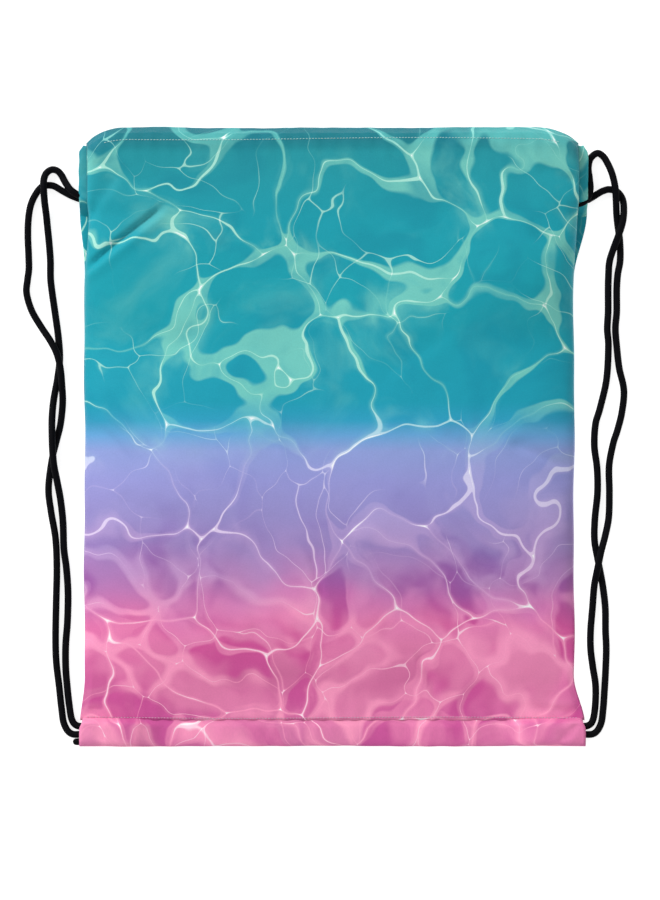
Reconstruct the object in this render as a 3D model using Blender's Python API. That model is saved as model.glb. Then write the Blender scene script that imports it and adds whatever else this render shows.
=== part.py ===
"""Drawstring backpack, 35 x 43 cm, lying flat on its back with its cords laid out beside it.

Frame: +X to the wearer's left hand side as seen from the front, +Y towards the mouth, +Z up out
of the front face.  The origin is the middle of the bag's own footprint, on the surface it lies on.
"""
import math

import bpy
import bmesh
from mathutils import Vector

MM = 0.001

# The bag
HALF_HEIGHT = 215 * MM          # half of the bag's height, channel to mouth
HALF_WIDTH = 171.5 * MM         # half width between the side seams
MOUTH_FLARE = 4.8 * MM          # how much wider each side is beside the slits
FOOT_FLARE = 3.4 * MM           # how much wider each side is at the bottom channel
FABRIC = 1.0 * MM               # cloth with its print and seam fold, as a solid
GAP = 0.3 * MM                  # clearance between pieces that touch
SWING_GAP = 0.6 * MM            # and at a strap's foot, where one end turns against the other
CROWN = 28.5 * MM               # height of the front face over the surface
PILLOW_EXPONENTS = (2.6, 0.59)  # how full the section is below the slits
MOUTH_EXPONENTS = (5.0, 0.36)   # and at the mouth, where the cords hold it square

# The side slits, which the cords leave by, and the line that the front lip turns about
SLIT_FOOT = 157 * MM
LIP_PIVOT_HEIGHT = 31 * MM
HEM = 0.7 * MM
HEM_WIDTH = 5 * MM

# The casings at the mouth and the channel at the foot
CORD = 5.0 * MM
CASING_HALF_LENGTH = 146 * MM
CASING_WIDTH = 17 * MM
CASING_DEPTH = 7.6 * MM
CASING_WALL = 0.9 * MM
CASING_TILT = math.radians(-60)
LANE = 2.9 * MM                 # each cord's offset from the middle of its casing
FRONT_CASING = (208.5 * MM, 20.5 * MM)
BACK_CASING = (206.5 * MM, CASING_DEPTH / 2)
CHANNEL_WIDTH = 18.7 * MM
CHANNEL_DEPTH = 10 * MM
CHANNEL_HALF_LENGTH = 175 * MM
CHANNEL_MIDDLE = -HALF_HEIGHT + CHANNEL_WIDTH / 2
CHANNEL_CORD_HEIGHT = CHANNEL_DEPTH / 2

# The lines that the shoulder straps swing about, beside the bag: (top, foot) in plan
STRAP_LINE = {"left": ((-188.5 * MM, 176 * MM), (-184 * MM, -187 * MM)),
              "right": ((184.4 * MM, 176 * MM), (181.6 * MM, -187 * MM))}

# Thread
BEAD_WIDTH = 0.8 * MM
BEAD_HEIGHT = 0.5 * MM

# Levels of the two strands where they leave a slit, one on the other
LOWER_STRAND = FABRIC + HEM + 2 * GAP + CORD / 2
UPPER_STRAND = LOWER_STRAND + CORD + GAP
LIP_EDGE = UPPER_STRAND + CORD / 2 + HEM + 2 * GAP

# Meshing
ACROSS = 28
ALONG = 22
FINE_STEP = 0.8 * CORD          # where a cord turns tightly beside the casings

PANEL_BOTTOM = CHANNEL_MIDDLE + CHANNEL_WIDTH / 2 + GAP
BACK_PANEL_TOP = BACK_CASING[0] - CASING_WIDTH / 2 - GAP
LIP_TOP = 202 * MM

TEAL = (0.012, 0.33, 0.42)
LILAC = (0.31, 0.31, 0.68)
PINK = (0.72, 0.16, 0.38)
PALE = (0.80, 0.82, 0.84)
THREAD = (0.42, 0.72, 0.74)
NAVY_BLACK = (0.006, 0.006, 0.010)


def clear_scene():
    for obj in list(bpy.data.objects):
        bpy.data.objects.remove(obj, do_unlink=True)


def material(name, colour, roughness):
    mat = bpy.data.materials.new(name)
    mat.use_nodes = True
    shader = mat.node_tree.nodes["Principled BSDF"]
    shader.inputs["Base Color"].default_value = (*colour, 1)
    shader.inputs["Roughness"].default_value = roughness
    shader.inputs["Metallic"].default_value = 0
    mat.diffuse_color = (*colour, 1)
    return mat


def link(name, data, mat, parent=None):
    """Add one named sub-part, with its origin on its parent empty's joint axis."""
    obj = bpy.data.objects.new(name, data)
    data.materials.append(mat)
    bpy.context.scene.collection.objects.link(obj)
    if parent is not None:
        data.transform(parent.matrix_world.inverted())
        obj.parent = parent
    return obj


def empty(name, location, parent=None):
    obj = bpy.data.objects.new(name, None)
    bpy.context.scene.collection.objects.link(obj)
    obj.parent = parent
    obj.location = location if parent is None else Vector(location) - parent.matrix_world.translation
    bpy.context.view_layer.update()
    return obj


def mesh_from(name, build):
    """A closed smooth-shaded mesh made by build(bm)."""
    bm = bmesh.new()
    build(bm)
    bmesh.ops.recalc_face_normals(bm, faces=bm.faces)
    mesh = bpy.data.meshes.new(name)
    bm.to_mesh(mesh)
    bm.free()
    mesh.shade_smooth()
    mesh.set_sharp_from_angle(angle=math.radians(35))
    return mesh


def smoothstep(value):
    value = min(max(value, 0.0), 1.0)
    return value * value * (3 - 2 * value)


# ---------------------------------------------------------------- the bag's shape

def half_width(y):
    """Half the bag's width at a height y up the bag."""
    mouth = smoothstep((y - 105 * MM) / (50 * MM))
    foot = smoothstep((-165 * MM - y) / (35 * MM))
    return HALF_WIDTH + MOUTH_FLARE * mouth + FOOT_FLARE * foot


def crown(y):
    """Height of the front face's middle: low at the bottom stitching, full above it."""
    rise = smoothstep((y - PANEL_BOTTOM + 25 * MM) / (150 * MM))
    return CROWN * (0.12 + 0.88 * rise)


def front_height(x, y, inset=0.0):
    """The front face's height; inset gives the inner face of the cloth."""
    to_mouth = smoothstep((y - 60 * MM) / (95 * MM))
    power, root = [a + (b - a) * to_mouth for a, b in zip(PILLOW_EXPONENTS, MOUTH_EXPONENTS)]
    edge = LIP_EDGE if y > SLIT_FOOT else FABRIC + GAP
    share = min(abs(x) / half_width(y), 1.0)
    return edge + (crown(y) - inset - edge) * (1 - share ** power) ** root


def cross_positions(count):
    """Places across the front from -1 to 1, closer together towards the seams."""
    return [math.sin(math.pi / 2 * (2 * i / count - 1)) for i in range(count + 1)]


def shell(bm, y_start, y_end, rows):
    """A curved piece of the front face between two heights, with its cloth's thickness."""
    outer, inner = [], []
    for j in range(rows + 1):
        y = y_start + (y_end - y_start) * j / rows
        width = half_width(y)
        outer.append([bm.verts.new((s * width, y, front_height(s * width, y)))
                      for s in cross_positions(ACROSS)])
        inner.append([bm.verts.new((s * (width - FABRIC), y,
                                    front_height(s * width, y, inset=FABRIC)))
                      for s in cross_positions(ACROSS)])
    for j in range(rows):
        for i in range(ACROSS):
            bm.faces.new((outer[j][i], outer[j][i + 1], outer[j + 1][i + 1], outer[j + 1][i]))
            bm.faces.new((inner[j][i], inner[j + 1][i], inner[j + 1][i + 1], inner[j][i + 1]))
        for i in (0, ACROSS):
            bm.faces.new((outer[j][i], outer[j + 1][i], inner[j + 1][i], inner[j][i]))
    for j in (0, rows):
        for i in range(ACROSS):
            bm.faces.new((outer[j][i], outer[j][i + 1], inner[j][i + 1], inner[j][i]))


def plate(bm, left, right, bottom, top):
    """A closed strip: left(y) and right(y) give its sides, bottom and top its levels."""
    rows = []
    for y in left["rows"]:
        low = [bm.verts.new((left["x"](y), y, bottom)), bm.verts.new((right(y), y, bottom))]
        high = [bm.verts.new((left["x"](y), y, top)), bm.verts.new((right(y), y, top))]
        rows.append((low, high))
    for (low, high), (low_next, high_next) in zip(rows, rows[1:]):
        bm.faces.new((low[0], low[1], low_next[1], low_next[0]))
        bm.faces.new((high[0], high[1], high_next[1], high_next[0]))
        for side in (0, 1):
            bm.faces.new((low[side], low_next[side], high_next[side], high[side]))
    for low, high in (rows[0], rows[-1]):
        bm.faces.new((low[0], low[1], high[1], high[0]))


def spread(start, end, count):
    return [start + (end - start) * i / count for i in range(count + 1)]


def strip(name, x_inner, x_outer, y_range, levels, mat, parent, side=1, rows=ALONG):
    """A flat strip that follows the bag's side: x_inner and x_outer are offsets inside it."""
    def build(bm):
        left = {"rows": spread(*y_range, rows), "x": lambda y: side * (half_width(y) - x_inner)}
        plate(bm, left, lambda y: side * (half_width(y) - x_outer), *levels)
    return link(name, mesh_from(name, build), mat, parent)


def back_panel(mat, root):
    def build(bm):
        left = {"rows": spread(PANEL_BOTTOM, BACK_PANEL_TOP, 2 * ALONG),
                "x": lambda y: -half_width(y)}
        plate(bm, left, half_width, 0, FABRIC)
    return link("back_panel", mesh_from("back_panel", build), mat, root)


def stadium(width, depth, steps=8):
    """The outline of a flattened tube about its own middle, as (across, up) pairs."""
    radius = depth / 2
    middle = width / 2 - radius
    points = []
    for end in (1, -1):
        for i in range(steps + 1):
            angle = math.pi * (i / steps - 0.5)
            points.append((end * (middle + radius * math.cos(angle)), end * radius * math.sin(angle)))
    return points


def tube_along_x(name, half_length, size, place, tilt, mat, parent, wall=CASING_WALL):
    """A flattened fabric tube, open at both ends, lying along X."""
    width, depth = size

    def ring(bm, x, outline):
        turned = [(a * math.cos(tilt) - b * math.sin(tilt), a * math.sin(tilt) + b * math.cos(tilt))
                  for a, b in outline]
        return [bm.verts.new((x, place[0] + a, place[1] + b)) for a, b in turned]

    def build(bm):
        outlines = (stadium(width, depth), stadium(width - 2 * wall, depth - 2 * wall))
        ends = [[ring(bm, x, outline) for outline in outlines] for x in (-half_length, half_length)]
        count = len(outlines[0])
        for i in range(count):
            k = (i + 1) % count
            for layer in (0, 1):
                bm.faces.new((ends[0][layer][i], ends[0][layer][k], ends[1][layer][k], ends[1][layer][i]))
            for end in ends:
                bm.faces.new((end[0][i], end[0][k], end[1][k], end[1][i]))
    return link(name, mesh_from(name, build), mat, parent)


# ---------------------------------------------------------------- thread

def stitch_bead(name, y, half_length, height_at, mat, parent, count=40):
    """One line of lockstitch across the bag, as a low bead that lies on the cloth."""
    def build(bm):
        rows = []
        for x in spread(-half_length, half_length, count):
            base = height_at(x) + GAP
            corners = ((y, base), (y + BEAD_WIDTH, base),
                       (y + BEAD_WIDTH, base + BEAD_HEIGHT), (y, base + BEAD_HEIGHT))
            rows.append([bm.verts.new((x, a, b)) for a, b in corners])
        for here, there in zip(rows, rows[1:]):
            for i in range(4):
                k = (i + 1) % 4
                bm.faces.new((here[i], here[k], there[k], there[i]))
        bm.faces.new(rows[0])
        bm.faces.new(rows[-1])
    return link(name, mesh_from(name, build), mat, parent)


def bartack(name, side, mat, parent):
    """The dense bar of thread that ends a slit, with its edges eased by a bevel."""
    length, width, height = 8 * MM, 1.4 * MM, 1.6 * MM
    centre = Vector((side * (half_width(SLIT_FOOT) - 7 * MM), SLIT_FOOT + GAP + width,
                     FABRIC + GAP + height / 2))

    def build(bm):
        bmesh.ops.create_cube(bm, size=1)
        for vert in bm.verts:
            vert.co = centre + Vector((vert.co.x * length, vert.co.y * width, vert.co.z * height))
    obj = link(name, mesh_from(name, build), mat, parent)
    bevel = obj.modifiers.new("eased_edges", "BEVEL")
    bevel.width = 0.3 * MM
    bevel.segments = 2
    return obj


# ---------------------------------------------------------------- cords

def catmull_rom(points, samples=24):
    """A smooth curve through every route point."""
    pts = [Vector(p) for p in points]
    pts = [2 * pts[0] - pts[1]] + pts + [2 * pts[-1] - pts[-2]]
    curve = []
    for a, b, c, d in zip(pts, pts[1:], pts[2:], pts[3:]):
        for i in range(samples):
            t = i / samples
            curve.append(0.5 * (2 * b + (c - a) * t + (2 * a - 5 * b + 4 * c - d) * t ** 2
                                + (3 * b - a - 3 * c + d) * t ** 3))
    curve.append(pts[-2])
    return curve


def even_steps(curve, step):
    """The same curve with points an equal distance apart."""
    total = sum((b - a).length for a, b in zip(curve, curve[1:]))
    count = max(int(round(total / step)), 2)
    spacing = total / count
    result, walked, target = [curve[0]], 0.0, spacing
    for a, b in zip(curve, curve[1:]):
        length = (b - a).length
        while walked + length >= target and len(result) < count:
            result.append(a.lerp(b, (target - walked) / length))
            target += spacing
        walked += length
    return result + [curve[-1]]


def route_curve(route):
    """The smooth curve of a route given in millimetres, no lower than the surface."""
    curve = catmull_rom([Vector(p) * MM for p in route])
    for point in curve:
        point.z = max(point.z, CORD / 2)
    return curve


def cut(curve, index, gap):
    """A curve in two after a point, with a gap between the two ends."""
    half_gap = (curve[index + 1] - curve[index]).normalized() * gap / 2
    middle = curve[index].lerp(curve[index + 1], 0.5)
    return curve[:index] + [middle - half_gap], [middle + half_gap] + curve[index + 2:]


def beyond_strap_line(point, word):
    """True outside the line that the strap swings about."""
    (top_x, top_y), (foot_x, foot_y) = STRAP_LINE[word]
    line_x = foot_x + (top_x - foot_x) * (point.y - foot_y) / (top_y - foot_y)
    return abs(point.x) > abs(line_x)


def three_stretches(curve, word):
    """A cord's half as its leg in the slit, its strand, and its foot in the channel."""
    foot_y = STRAP_LINE[word][1][1]
    low = next(i for i, point in enumerate(curve) if point.y < foot_y)
    upper, foot = cut(curve, low, SWING_GAP)
    out = next(i for i, point in enumerate(upper) if beyond_strap_line(point, word))
    pivot, strand = upper[out], upper[out:]
    leg = [point for point in upper[:out] if (point - pivot).length > CORD / 2 + GAP]
    return leg, strand, foot


def cord(name, path, mat, parent, step=1.6 * CORD, ball=False):
    """One stretch of cord along a smooth path; ball gives its start a round end on the pivot."""
    curve = bpy.data.curves.new(name, "CURVE")
    curve.dimensions = "3D"
    curve.bevel_depth = CORD / 2
    curve.bevel_resolution = 2
    curve.use_fill_caps = True
    middle = even_steps(path, step)[1:-1]
    points = [path[0], path[2]] + middle + [path[-3], path[-1]]     # the short ends keep caps square
    sizes = [1.0] * len(points)
    if ball:
        back = (path[0] - path[2]).normalized() * CORD / 2
        angles = [math.radians(a) for a in (68, 42, 18)]
        points = [path[0] + back * math.sin(a) for a in angles] + points
        sizes = [math.cos(a) for a in angles] + sizes
    spline = curve.splines.new("POLY")
    spline.points.add(len(points) - 1)
    for target, point, size in zip(spline.points, points, sizes):
        target.co = (*point, 1)
        target.radius = size
    return link(name, curve, mat, parent)


def lane(casing, tilt, offset):
    """Where a cord lies in a casing's section, in millimetres."""
    y = casing[0] + offset * math.cos(tilt)
    z = casing[1] + offset * math.sin(tilt)
    return y / MM, z / MM


FRONT_INNER = lane(FRONT_CASING, CASING_TILT, -LANE)
FRONT_OUTER = lane(FRONT_CASING, CASING_TILT, LANE)
BACK_INNER = lane(BACK_CASING, 0, -LANE)
BACK_OUTER = lane(BACK_CASING, 0, LANE)
CASING_END = CASING_HALF_LENGTH / MM
LOW = LOWER_STRAND / MM
HIGH = UPPER_STRAND / MM
FLAT = CORD / 2 / MM            # a strand's height where it lies on the surface
OVER = FLAT + CORD / MM + 0.4   # and where it passes over another strand
IN_CHANNEL = CHANNEL_CORD_HEIGHT / MM
SPLIT = GAP / MM / 2            # half of the gap between one stretch of a cord and the next
SWING = 2.7                     # the height of the line that a strap swings about

# The routes are in millimetres.  Each cord comes out of the two casings at its own side, goes down
# inside the slit, leaves at the slit's foot and runs to the end of the bottom channel.
LEFT_UPPER_ROUTE = [
    (-CASING_END - SPLIT, *FRONT_INNER), (-150, *FRONT_INNER), (-156.5, 205.8, 20.6), (-161, 201.2, 16.6),
    (-162.6, 195, 13.6), (-163.2, 187, 11.6), (-163.2, 178, 10.6), (-165, 170.8, HIGH),
    (-169.6, 167, HIGH), (-176.3, 168.8, HIGH), (-181.8, 172.4, 9.5), (-185, 176.4, 6.6),
    (-187.2, 180, 3.8), (-188.9, 183.2, SWING), (-191.6, 186.2, FLAT), (-195.6, 187.2, FLAT),
    (-199.3, 184.8, 3.6), (-200.9, 180.2, 6.2), (-201, 174, OVER), (-200.4, 164.6, 6.6),
    (-199.4, 155, 4), (-198.6, 146, 2.7), (-197.6, 136, FLAT), (-196.7, 124, FLAT),
    (-196.6, 112, FLAT), (-195.7, 103, FLAT), (-193.4, 87, FLAT), (-191.1, 70, FLAT),
    (-190.2, 55, FLAT), (-191.8, 41, FLAT), (-194.5, 26, FLAT), (-195.4, 14, 4.6),
    (-195.2, 3, 7.4), (-194.8, -8, OVER), (-193.8, -19, OVER), (-191.8, -30, 5.6),
    (-189.6, -43, 3), (-187.9, -59, FLAT), (-187.3, -77, FLAT), (-185.5, -91, FLAT),
    (-184.4, -108, FLAT), (-184.8, -128, FLAT), (-186, -144, FLAT), (-186, -160, FLAT),
    (-184.8, -175, FLAT), (-183.4, -187, 2.8), (-181.6, -196.2, 3.8), (-178, -200.3, 4.6),
    (-171, -200.8, IN_CHANNEL), (-160.3, -200.8, IN_CHANNEL)]
LEFT_LOWER_ROUTE = [
    (-CASING_END - SPLIT, *BACK_INNER), (-150, *BACK_INNER), (-157.8, 201.9, 4.2), (-162.5, 196, LOW),
    (-163.8, 188, LOW), (-163.8, 177, LOW), (-165.6, 169.6, LOW), (-170, 165.4, LOW),
    (-176.3, 166.7, LOW), (-182.5, 169.2, 3.6), (-188.4, 172.4, SWING), (-195.2, 176, FLAT),
    (-202.2, 175.4, FLAT), (-207, 169.9, FLAT), (-210.5, 162, FLAT), (-212.1, 152, FLAT),
    (-212.4, 140, FLAT), (-211.9, 128, FLAT), (-211.7, 118, FLAT), (-212.7, 110, FLAT),
    (-213.3, 101, FLAT), (-209.8, 89, FLAT), (-203.4, 78, 3.4), (-196.6, 68, 6.4),
    (-191.9, 59, OVER), (-189.4, 49, OVER), (-188.3, 37, 7), (-188, 25, 4),
    (-189.6, 10, 2.6), (-192.6, -2.4, FLAT), (-195.6, -15, FLAT), (-198, -35, FLAT),
    (-196.3, -51, FLAT), (-193.1, -70, FLAT), (-192.2, -91, FLAT), (-192.7, -115, FLAT),
    (-193.1, -139, FLAT), (-192.6, -156, FLAT), (-190.6, -173, FLAT), (-188.9, -188.4, 2.8),
    (-187, -199.4, 3.6), (-182, -205.9, 4.6), (-172.5, -206.2, IN_CHANNEL),
    (-160.3, -206.2, IN_CHANNEL)]
RIGHT_UPPER_ROUTE = [
    (CASING_END + SPLIT, *FRONT_OUTER), (151, *FRONT_OUTER), (158.2, 208.2, 16.9), (161.4, 200.4, 15),
    (162, 191, 12.6), (161.4, 181, 10.8), (161.8, 172.4, HIGH), (164.8, 166, HIGH),
    (170.6, 163, HIGH), (176.3, 165.6, HIGH), (179.2, 172.4, 8.4), (178.9, 181, 6),
    (178.2, 188, 4.6), (179.8, 194.8, 3.2), (184.6, 198.6, SWING), (188.9, 196.2, 2.8),
    (191.8, 191.2, 4.2), (194.6, 184, 6.8), (196.7, 174.5, OVER), (197.4, 165, 6.6), (198, 156, 3.6),
    (199, 147.5, FLAT), (200.4, 137, FLAT), (200.6, 124, FLAT), (198.9, 114, FLAT),
    (198.2, 103, FLAT), (198.2, 88, FLAT), (197.3, 76, FLAT), (198.4, 62, FLAT),
    (200, 48.5, FLAT), (203.2, 33.3, FLAT), (201.8, 18, FLAT), (198.7, 5.5, FLAT),
    (195.7, -4, FLAT), (192.9, -19.4, FLAT), (193.1, -38, FLAT), (192.6, -55, 3),
    (189.9, -68, 6), (186.9, -79, OVER), (184.4, -91, 7.8), (182.4, -103, 4.4),
    (181.3, -118, 2.6), (180, -134, FLAT), (180, -147, FLAT), (181.6, -160, FLAT),
    (183.4, -172, FLAT), (183.3, -185, 2.8), (181.6, -196.2, 3.8), (178, -200.3, 4.6),
    (171, -200.8, IN_CHANNEL), (160.3, -200.8, IN_CHANNEL)]
RIGHT_LOWER_ROUTE = [
    (CASING_END + SPLIT, *BACK_OUTER), (151, *BACK_OUTER), (159, 206.4, 4), (162.4, 199.8, LOW),
    (163.2, 191, LOW), (162.8, 181, LOW), (163.8, 172.4, LOW), (168.4, 166, LOW),
    (176.3, 165.6, LOW), (180.6, 167.6, 3.7), (184.4, 170, SWING), (188.4, 172.2, FLAT),
    (193.1, 173.4, FLAT),
    (198.7, 171.6, FLAT), (202.4, 166, 2.8), (202.9, 157.6, 5.6), (201.6, 149, OVER),
    (198.6, 140, OVER), (195.6, 131.6, 5.6), (193.1, 122.8, 3), (192.4, 112, FLAT),
    (192.2, 103, FLAT), (192.2, 88, FLAT), (191.6, 76, FLAT), (192.4, 64, FLAT),
    (191.1, 41, FLAT), (186.6, 21, FLAT), (183.4, 9.7, FLAT), (182.6, -5.5, FLAT),
    (184.5, -21, FLAT), (184.8, -38, FLAT), (183, -56, FLAT), (182.7, -71, FLAT),
    (185, -84.6, FLAT), (188.3, -102, FLAT), (190.2, -118, FLAT), (190.4, -134, FLAT),
    (190.9, -147, FLAT), (190.4, -163, FLAT), (189.6, -177, FLAT), (188.7, -189, 2.8),
    (187, -199.4, 3.6), (182, -205.9, 4.6), (172.5, -206.2, IN_CHANNEL),
    (160.3, -206.2, IN_CHANNEL)]
LEFT_TAIL = [(-160.3, -211.5, IN_CHANNEL), (-166, -211.5, IN_CHANNEL), (-172, -211.5, IN_CHANNEL),
             (-178.4, -211.5, IN_CHANNEL)]

# The bight of each cord, at the far side, where it turns from one casing into the other
BIGHT_OF_LEFT_CORD = [
    (CASING_END - 2 + SPLIT, *FRONT_INNER), (146.4, *FRONT_INNER), (149.4, *FRONT_INNER),
    (153.6, 204.9, 20.6), (155.6, 202.2, 15.6), (155.4, 201.2, 10.4), (153, 202.6, 5.6),
    (149.4, *BACK_INNER), (146.4, *BACK_INNER), (CASING_END - 2 + SPLIT, *BACK_INNER)]
BIGHT_OF_RIGHT_CORD = [
    (-CASING_END + 2 - SPLIT, *FRONT_OUTER), (-146.4, *FRONT_OUTER), (-149, *FRONT_OUTER),
    (-153, 211, 16), (-155, 211.8, 11), (-153, 211, 5.8), (-149, *BACK_OUTER),
    (-146.4, *BACK_OUTER), (-CASING_END + 2 - SPLIT, *BACK_OUTER)]


def knot(name, side, mat, parent):
    """The drawn-up overhand knot that ends a cord's strands, pressed flat in the channel."""
    length, width, height = 17 * MM, 14.6 * MM, 7.4 * MM
    centre = Vector((side * (160 * MM - length / 2), CHANNEL_MIDDLE, CHANNEL_CORD_HEIGHT))

    def build(bm):
        bmesh.ops.create_cube(bm, size=2)
        bmesh.ops.subdivide_edges(bm, edges=bm.edges, cuts=5, use_grid_fill=True)
        for vert in bm.verts:
            # a box eased towards an ellipsoid: full ends, rounded shoulders
            reach = sum(abs(c) ** 4 for c in vert.co) ** 0.25
            shape = vert.co / reach
            vert.co = centre + Vector((shape.x * length, shape.y * width, shape.z * height)) / 2
    return link(name, mesh_from(name, build), mat, parent)


# ---------------------------------------------------------------- assembly

def build_bag(mats, root, lip):
    back_panel(mats["back"], root)
    link("front_panel", mesh_from("front_panel", lambda bm: shell(
        bm, PANEL_BOTTOM, SLIT_FOOT - GAP / 2, ALONG)), mats["front"], root)
    link("front_mouth_flap", mesh_from("front_mouth_flap", lambda bm: shell(
        bm, SLIT_FOOT + GAP / 2, LIP_TOP, 6)), mats["mouth"], lip)
    casing_size = (CASING_WIDTH, CASING_DEPTH)
    tube_along_x("front_casing", CASING_HALF_LENGTH, casing_size, FRONT_CASING, CASING_TILT,
                 mats["mouth"], lip)
    tube_along_x("back_casing", CASING_HALF_LENGTH, casing_size, BACK_CASING, 0, mats["mouth"], root)
    tube_along_x("bottom_channel", CHANNEL_HALF_LENGTH, (CHANNEL_WIDTH, CHANNEL_DEPTH),
                 (CHANNEL_MIDDLE, CHANNEL_DEPTH / 2), 0, mats["foot"], root)
    for word, side in (("left", -1), ("right", 1)):
        strip(word + "_side_seam", 12 * MM, 7 * MM, (PANEL_BOTTOM + 12 * MM, SLIT_FOOT - 3 * MM),
              (FABRIC + GAP, FABRIC + GAP + HEM), mats["seam"], root, side)
        strip(word + "_slit_back_hem", HEM_WIDTH, 0, (SLIT_FOOT + 4 * MM, BACK_PANEL_TOP),
              (FABRIC + GAP, FABRIC + GAP + HEM), mats["mouth"], root, side, rows=4)
        strip(word + "_slit_front_hem", HEM_WIDTH, 0, (SLIT_FOOT + 4 * MM, LIP_TOP),
              (LIP_EDGE - GAP - HEM, LIP_EDGE - GAP), mats["mouth"], lip, side, rows=4)
        bartack(word + "_slit_bartack", side, mats["thread"], root)


def build_stitching(mats, root, lip):
    lip_line = LIP_TOP - 2 * MM
    foot_line = PANEL_BOTTOM + 1.5 * MM
    stitch_bead("front_casing_stitching", lip_line, CASING_HALF_LENGTH,
                lambda x: front_height(x, lip_line), mats["thread"], lip)
    stitch_bead("back_casing_stitching", BACK_PANEL_TOP - 2 * MM, CASING_HALF_LENGTH,
                lambda x: FABRIC, mats["thread"], root, count=8)
    stitch_bead("bottom_channel_stitching", foot_line, 168 * MM,
                lambda x: front_height(x, foot_line + BEAD_WIDTH), mats["foot_thread"], root)


def build_cord(word, routes, bight, lanes, mats, root, lip):
    """One cord: its runs, bight and legs slide; its strands also swing as a shoulder strap."""
    side = -1 if word == "left" else 1
    slide = empty(word + "_cord", (side * CASING_HALF_LENGTH, lanes[1][0] * MM, lanes[1][1] * MM), root)
    front_slide = empty(word + "_cord_front", (side * CASING_HALF_LENGTH, lanes[0][0] * MM,
                                               lanes[0][1] * MM), lip)
    strap = empty(word + "_strap", (*STRAP_LINE[word][0], SWING * MM), slide)
    near = side * (CASING_END - SPLIT)
    far = -side * (CASING_END - 2 - SPLIT)
    for half, place, body in zip(("front", "back"), lanes, (front_slide, slide)):
        run = route_curve([(near, *place), (0, *place), (far, *place)])
        cord(word + "_cord_" + half + "_run", run, mats["cord"], body, step=CASING_HALF_LENGTH)
    cord(word + "_cord_bight", route_curve(bight), mats["cord"], slide, FINE_STEP)
    for half, route in zip(("front", "back"), routes):
        leg, strand, foot = three_stretches(route_curve(route), word)
        cord(word + "_cord_" + half + "_leg", leg, mats["cord"], slide, FINE_STEP)
        cord(word + "_strap_" + half + "_strand", strand, mats["cord"], strap, ball=True)
        cord(word + "_cord_" + half + "_foot", foot, mats["cord"], slide, FINE_STEP)
    knot(word + "_cord_knot", side, mats["cord"], slide)
    return slide


def main():
    clear_scene()
    mats = {"front": material("printed_front", LILAC, 0.6), "back": material("printed_back", PINK, 0.6),
            "mouth": material("printed_mouth", TEAL, 0.6), "foot": material("printed_foot", PINK, 0.6),
            "seam": material("overlocked_seam", PALE, 0.75), "thread": material("thread", THREAD, 0.5),
            "foot_thread": material("foot_thread", PALE, 0.5),
            "cord": material("braided_cord", NAVY_BLACK, 0.7)}
    root = empty("bag", (0, 0, 0))
    lip = empty("front_mouth", (0, SLIT_FOOT, LIP_PIVOT_HEIGHT), root)
    build_bag(mats, root, lip)
    build_stitching(mats, root, lip)
    left = build_cord("left", (LEFT_UPPER_ROUTE, LEFT_LOWER_ROUTE), BIGHT_OF_LEFT_CORD,
                      (FRONT_INNER, BACK_INNER), mats, root, lip)
    build_cord("right", (RIGHT_UPPER_ROUTE, RIGHT_LOWER_ROUTE), BIGHT_OF_RIGHT_CORD,
               (FRONT_OUTER, BACK_OUTER), mats, root, lip)
    cord("left_cord_tail", route_curve(LEFT_TAIL), mats["cord"], left)


main()
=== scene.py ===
"""The looks of the drawstring backpack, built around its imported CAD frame."""
import math

import bpy
import numpy as np
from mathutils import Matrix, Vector


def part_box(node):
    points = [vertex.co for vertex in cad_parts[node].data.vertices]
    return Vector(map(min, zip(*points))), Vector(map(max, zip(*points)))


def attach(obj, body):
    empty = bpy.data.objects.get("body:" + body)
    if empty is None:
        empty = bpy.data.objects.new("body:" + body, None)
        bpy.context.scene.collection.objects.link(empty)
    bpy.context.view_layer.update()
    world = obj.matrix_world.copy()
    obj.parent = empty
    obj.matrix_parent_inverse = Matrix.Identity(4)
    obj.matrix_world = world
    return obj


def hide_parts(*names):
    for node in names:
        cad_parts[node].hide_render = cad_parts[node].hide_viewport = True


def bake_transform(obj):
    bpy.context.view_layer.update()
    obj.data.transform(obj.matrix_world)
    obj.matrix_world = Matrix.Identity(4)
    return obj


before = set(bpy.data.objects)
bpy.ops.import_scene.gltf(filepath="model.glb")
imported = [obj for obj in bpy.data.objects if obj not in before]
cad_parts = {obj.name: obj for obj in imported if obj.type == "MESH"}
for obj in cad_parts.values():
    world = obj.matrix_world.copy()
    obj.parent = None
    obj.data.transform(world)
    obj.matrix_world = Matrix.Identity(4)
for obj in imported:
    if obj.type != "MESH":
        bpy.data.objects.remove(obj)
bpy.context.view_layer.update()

MM = 0.001

# ---- places, from the frame

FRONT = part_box("front_panel")
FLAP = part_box("front_mouth_flap")
FRONT_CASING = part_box("front_casing")
BACK_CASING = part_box("back_casing")
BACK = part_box("back_panel")
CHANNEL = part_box("bottom_channel")

FOOT_LINE = FRONT[0].y  # where the channel's stitching crosses the front
FOLD_LINE = CHANNEL[0].y  # the bag's lower edge
SLIT_FOOT = FLAP[0].y
LIP_TOP = FLAP[1].y
CROWN = FRONT[1].z
LIP_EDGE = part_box("left_slit_front_hem")[1].z + 1.0 * MM
CASING_END = FRONT_CASING[1].x
MOUTH_EDGE = FRONT_CASING[1].y
HALF_WIDTH = 171.5 * MM

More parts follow.
